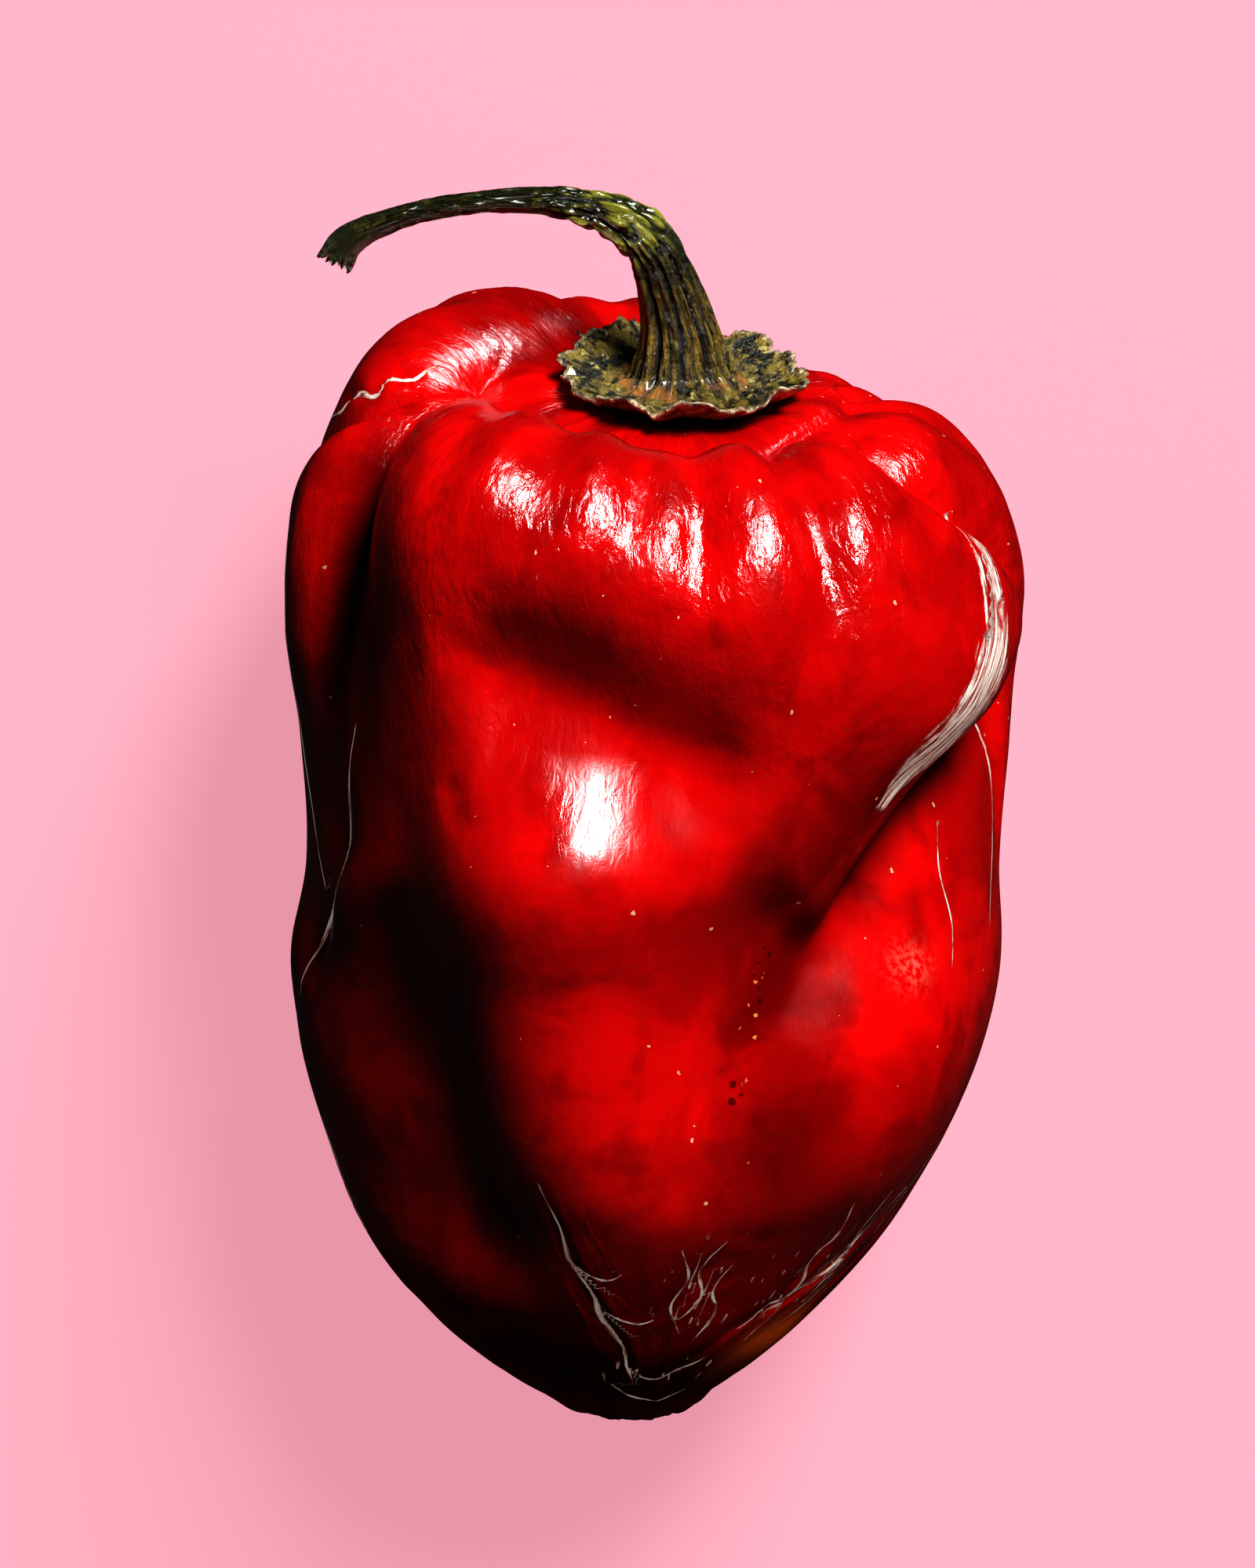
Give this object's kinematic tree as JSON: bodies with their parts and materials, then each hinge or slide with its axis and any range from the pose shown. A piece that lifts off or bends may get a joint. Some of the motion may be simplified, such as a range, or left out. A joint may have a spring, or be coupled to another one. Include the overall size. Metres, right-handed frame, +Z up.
{
  "type": "chilli pepper",
  "caption": "Red lobed lantern-shaped chilli pepper with a ruffled dry calyx and a curved green stem, lying on its side.",
  "frame": {"origin": "middle of the small flattened spot that the pod lies on", "axes": "+Y along the pod from the blossom tip to the stem, +Z up, away from the surface it lies on"},
  "size_m": [0.0344, 0.0597, 0.0327],
  "materials": {
    "pod_skin": "glossy",
    "dry_stalk": "rough"
  },
  "bodies": {
    "root": {"pod": "pod_skin", "stem_and_calyx": "dry_stalk"}
  },
  "joints": []
}
